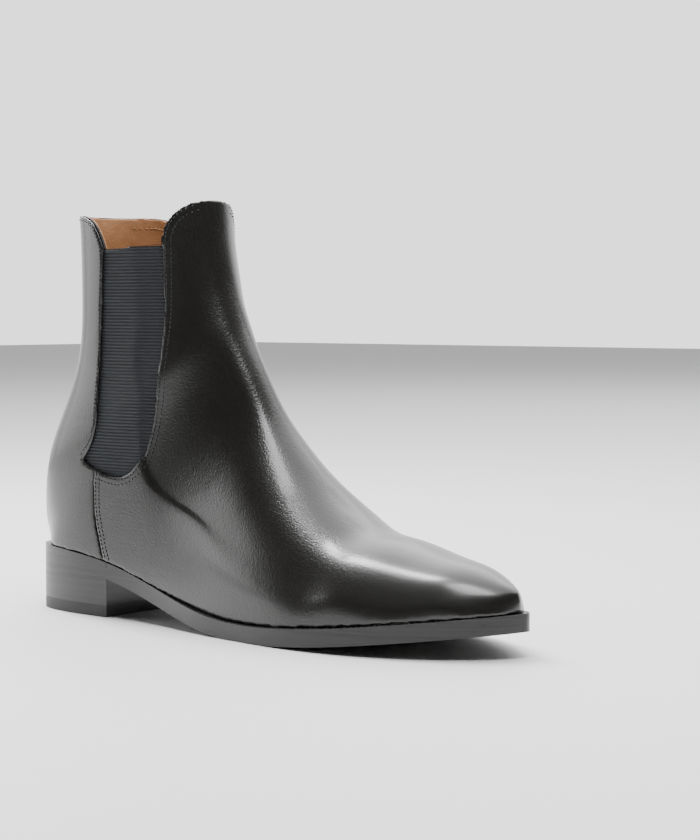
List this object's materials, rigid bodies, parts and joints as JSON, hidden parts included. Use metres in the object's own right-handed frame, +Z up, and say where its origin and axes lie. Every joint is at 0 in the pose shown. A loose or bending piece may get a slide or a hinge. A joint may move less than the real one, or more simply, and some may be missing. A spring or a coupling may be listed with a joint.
{
  "type": "chelsea boot",
  "caption": "Ankle-high leather boot with elastic side gores, welted leather sole and stacked heel; the collar opens at the back to let the foot in.",
  "frame": {"origin": "on the ground, in the middle of the boot's outline", "axes": "+X towards the toe, +Y towards the wearer's left (the inner side of this right boot), +Z up"},
  "size_m": [0.3027, 0.1006, 0.2066],
  "materials": {
    "black_calf": "polished smooth calf",
    "tan_lining": "matt glove leather",
    "elastic": "ribbed elastic",
    "backing_cloth": "woven cotton",
    "stiffener": "leather board",
    "insole_leather": "leather, matt",
    "rib_canvas": "canvas",
    "cork": "granulated cork",
    "steel": "plain steel",
    "brass_pins": "brushed",
    "welt_leather": "satin black edge",
    "top_rubber": "matt black",
    "sole_leather": "black burnished edge"
  },
  "bodies": {
    "boot": {"front_upper": "black_calf", "back_quarter_heel": "black_calf", "front_lining_outer_side": "tan_lining", "front_lining_inner_side": "tan_lining", "heel_lining_outer_side": "tan_lining", "heel_lining_inner_side": "tan_lining", "gore_outer_side": "elastic", "gore_inner_side": "elastic", "toe_puff_outer_side": "stiffener", "toe_puff_inner_side": "stiffener", "heel_counter_outer_side": "stiffener", "heel_counter_inner_side": "stiffener", "front_backing_outer_side": "backing_cloth", "front_backing_inner_side": "backing_cloth", "insole": "insole_leather", "sock_lining": "tan_lining", "insole_rib": "rib_canvas", "cork_filler": "cork", "steel_shank": "steel", "welt": "welt_leather", "heel_rand": "welt_leather", "outsole": "sole_leather", "heel_wedge_lift": "sole_leather", "heel_upper_lift": "sole_leather", "heel_lower_lift": "sole_leather", "rubber_top_piece": "top_rubber", "heel_nails": "steel", "top_piece_pins": "brass_pins"},
    "collar_back": {"back_quarter_leg": "black_calf", "back_lining_outer_side": "tan_lining", "back_lining_inner_side": "tan_lining", "back_backing_outer_side": "backing_cloth", "back_backing_inner_side": "backing_cloth"}
  },
  "joints": [
    {"name": "collar_open", "type": "hinge", "parent": "boot", "child": "collar_back", "pos_m": [-0.1375, 0, 0.0971], "axis": [0, -1, 0], "range_deg": [0, 8], "stiffness_Nm_per_rad": 14, "deforming": ["gore_outer_side", "gore_inner_side"]}
  ]
}
